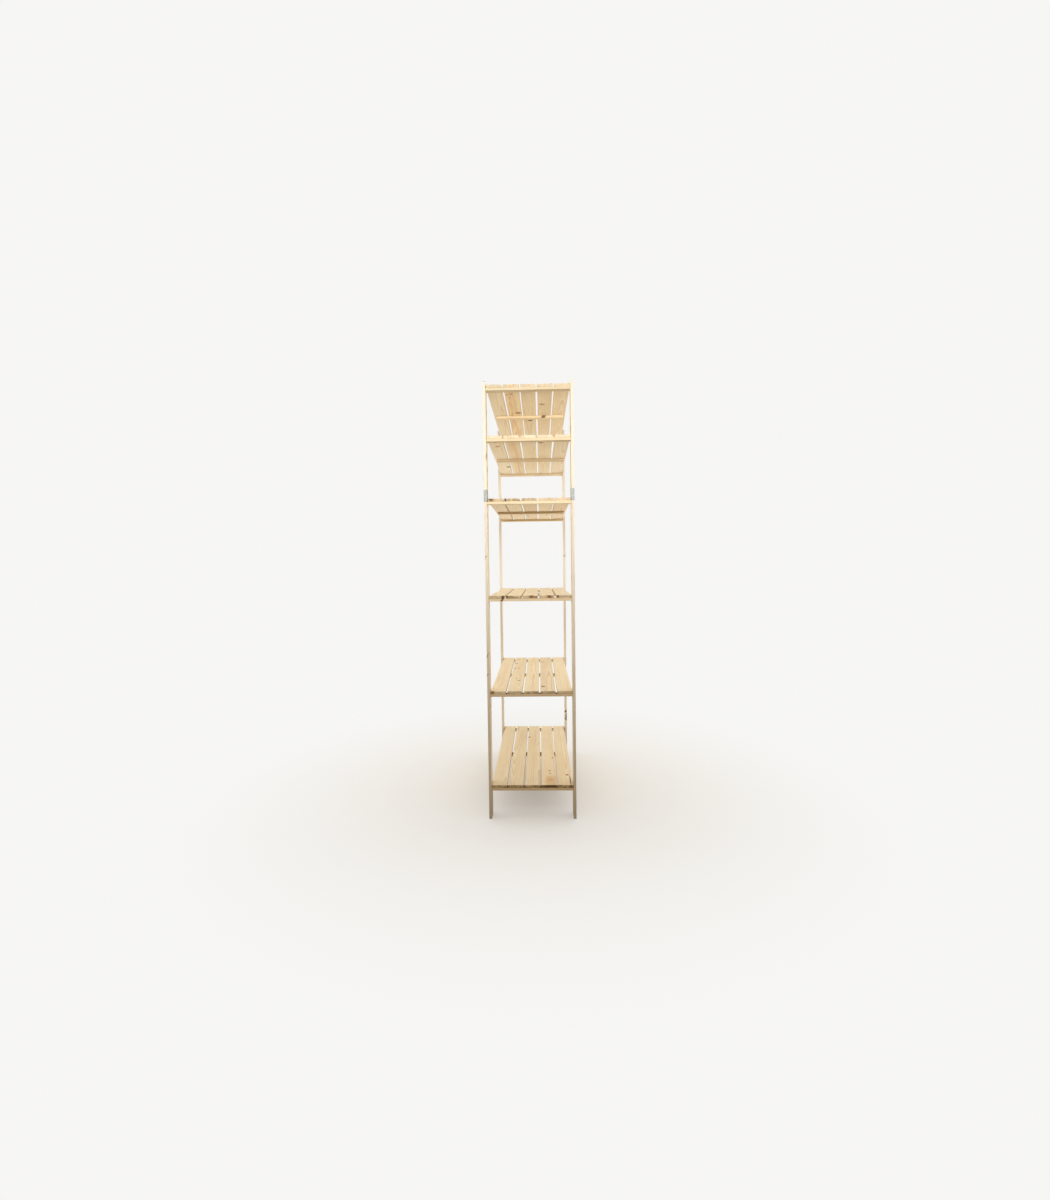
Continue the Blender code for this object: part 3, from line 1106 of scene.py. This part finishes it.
def floor_material():
    """Matt paint round the unit, which fades into the glow of the surround further out."""
    material, tree, shader = new_material("pale_floor")
    place = add_node(tree, "TexCoord", {})["Object"]
    mottle = fade(tree, noise(tree, place, mottle_cycles, 5.0), 0.3, 0.7, 0.0, 0.3)
    seen = seen_directly(tree)
    tint = shaded(tree, mottle, floor_colour, mottle_tint)
    tint = shaded(tree, calc(tree, "SUBTRACT", 1.0, seen), tint, floor_bounce)
    feed(tree, shader.inputs, {
        "Base Color": tint, "Roughness": floor_roughness, "Specular IOR Level": floor_sheen,
    })
    far = add_node(tree, "Group", {"Direction": place, "Seen": seen}, node_tree=studio_surround)["Colour"]
    glow = add_node(tree, "Emission", {"Color": far})[0]
    distance = length_of(tree, place)
    reaches = {0: seen, 2: fade(tree, distance, *bounce_reach), 3: fade(tree, distance, *shadow_reach)}
    edge = add_node(tree, "Mix", reaches)[0]
    surface = add_node(tree, "MixShader", {0: edge, 1: shader.outputs[0], 2: glow})[0]
    feed(tree, tree.nodes["Material Output"].inputs, {"Surface": surface})
    return material


floor_shape = bmesh.new()
bmesh.ops.create_circle(floor_shape, cap_ends=True, radius=floor_reach, segments=floor_sides)
floor = add_object("studio_floor", finished_mesh("studio_floor", floor_shape))
floor.location.z = -floor_drop
floor.data.materials.append(floor_material())


# Studio light: a pale surround that is bright behind and beside the unit, and one broad soft lamp in
# front of it, a little lower than its top, so that the front edges darken towards the floor.
lamp_place = Vector((0.15, -2.1, 1.71))
lamp_target = Vector((0.05, -0.4, 1.81))
lamp_size = (3.0, 0.36)
lamp_power = 16.6
lamp_spread = radians(110)

world = bpy.data.worlds.new("studio_surround")
world.use_nodes = True
bpy.context.scene.world = world
world_tree = world.node_tree
world_view = {"Direction": add_node(world_tree, "TexCoord", {})["Generated"]}
world_view["Seen"] = seen_directly(world_tree)
world_colour = add_node(world_tree, "Group", world_view, node_tree=studio_surround)["Colour"]
feed(world_tree, world_tree.nodes["Background"].inputs, {"Color": world_colour, "Strength": 1.0})

lamp_data = bpy.data.lights.new("high_soft_lamp", "AREA")
lamp_data.shape = "RECTANGLE"
lamp_data.size, lamp_data.size_y = lamp_size
lamp_data.energy = lamp_power
lamp_data.spread = lamp_spread
lamp = add_object("high_soft_lamp", lamp_data)
lamp.location = lamp_place
lamp.rotation_euler = (lamp_target - lamp_place).to_track_quat("-Z", "Y").to_euler()
lamp.visible_camera = False


# Camera: it stands a little right of the unit's middle line, at chest height, and looks slightly down.
# Its lens comes from a focal length in pixels and the picture's longer side, which is its height.
image_height = 1200
focal_length_pixels = 573.7
camera_place = (0.0448, -3.1073, 1.1634)
camera_turn = radians(1.512)
camera_tip = radians(3.151)
camera_roll = radians(-0.720)

camera_data = bpy.data.cameras.new("camera")
camera_data.sensor_width = 36.0
camera_data.lens = camera_data.sensor_width * focal_length_pixels / image_height
camera = add_object("camera", camera_data)
camera_aim = Matrix.Rotation(camera_turn, 4, "Z") @ Matrix.Rotation(pi / 2 - camera_tip, 4, "X")
camera.matrix_world = Matrix.Translation(camera_place) @ camera_aim @ Matrix.Rotation(camera_roll, 4, "Z")
bpy.context.scene.camera = camera
bpy.context.scene.view_settings.view_transform = "Standard"
